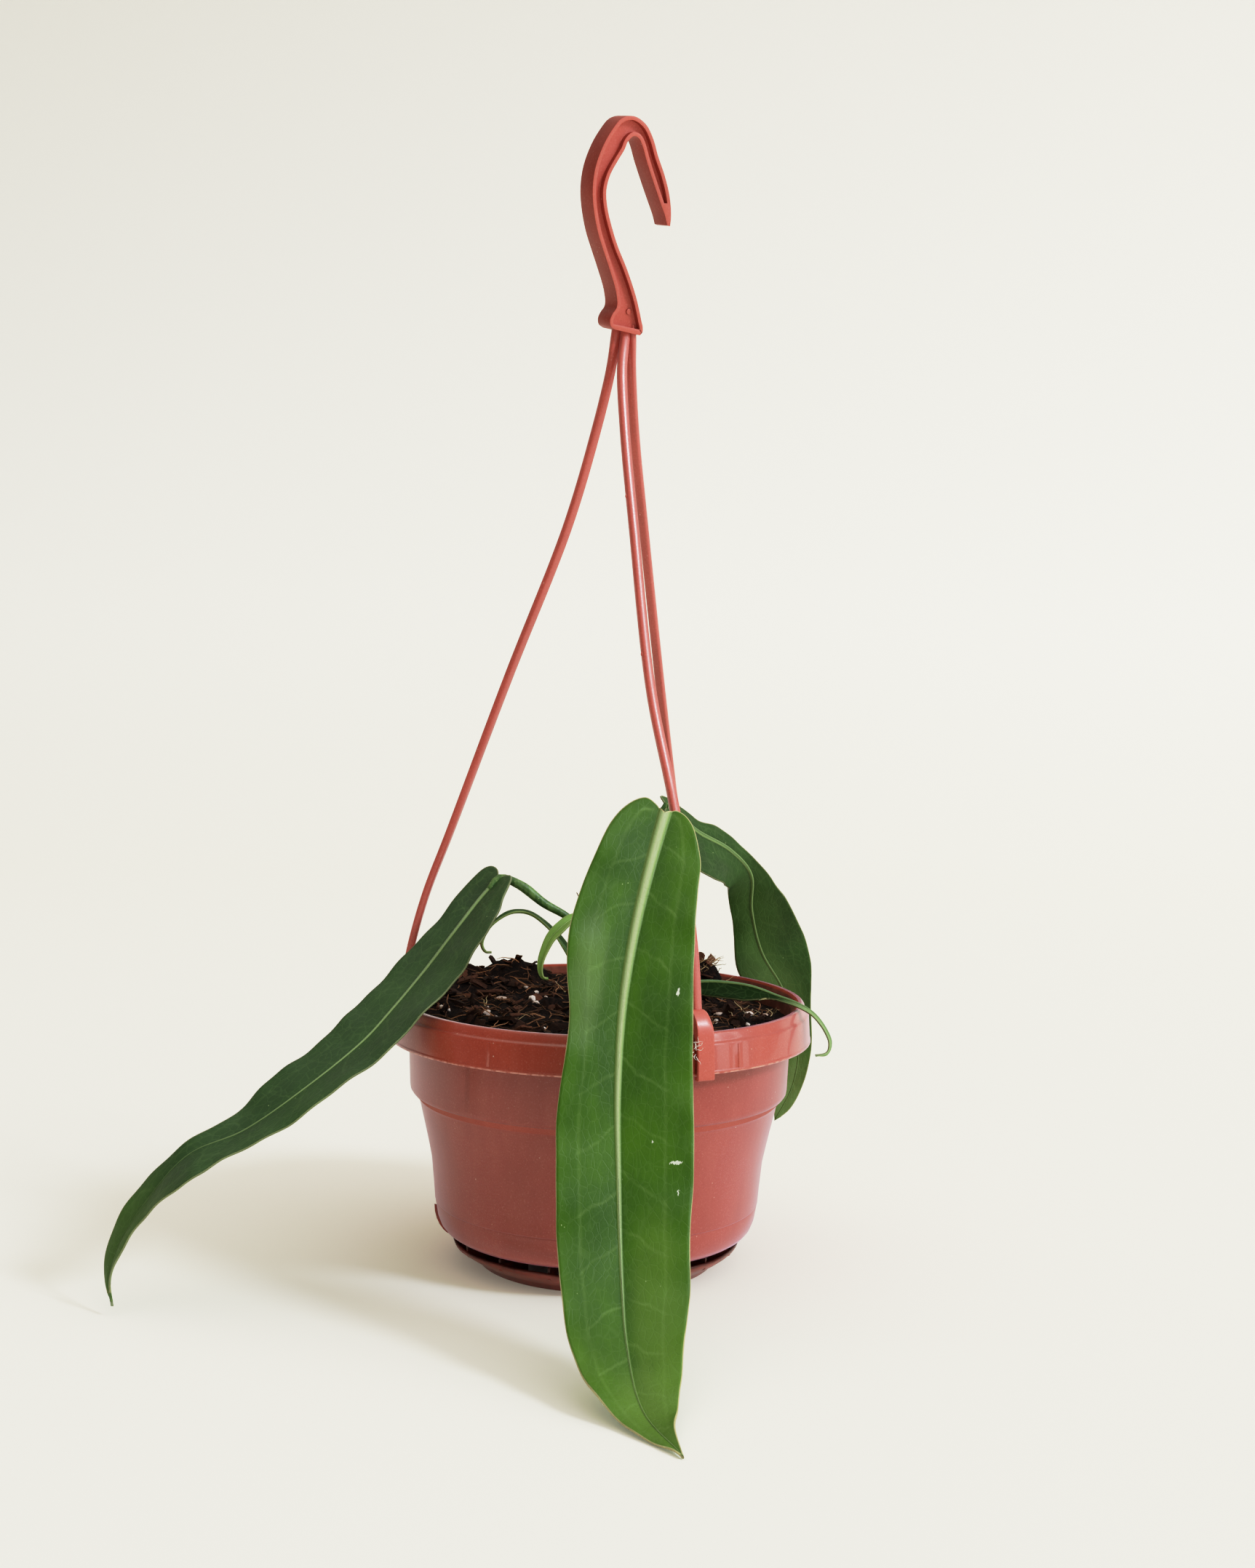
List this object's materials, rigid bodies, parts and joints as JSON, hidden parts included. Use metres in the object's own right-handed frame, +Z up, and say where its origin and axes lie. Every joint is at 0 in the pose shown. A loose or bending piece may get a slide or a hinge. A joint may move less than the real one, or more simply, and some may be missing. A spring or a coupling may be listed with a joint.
{
  "type": "potted anthurium",
  "caption": "Pendent strap-leaved anthurium in a round plastic hanging pot with saucer and three-strap hanger.",
  "frame": {"origin": "centre of the saucer's flat underside, on the floor", "axes": "+Z up along the pot's axis, +Y away from the viewer of the picture, +X to the viewer's right"},
  "size_m": [0.2427, 0.2613, 0.3995],
  "materials": {
    "pot_plastic": "satin moulded polypropylene, red-brown",
    "hanger_plastic": "satin moulded polypropylene, brighter red-brown",
    "mix": "moist bark and coir with perlite",
    "leaf": "leathery, satin",
    "leaf_light": "soft young leaf, satin",
    "dry_sheath": "dry papery sheath"
  },
  "bodies": {
    "root": {"pot": "pot_plastic", "saucer": "pot_plastic", "hanger": "hanger_plastic", "potting_mix": "mix", "crown": "dry_sheath", "cataphyll": "dry_sheath", "leaf_front": "leaf", "leaf_left": "leaf", "leaf_back": "leaf", "leaf_small_right": "leaf_light", "leaf_small_left": "leaf_light", "leaf_young": "leaf_light"}
  },
  "joints": []
}
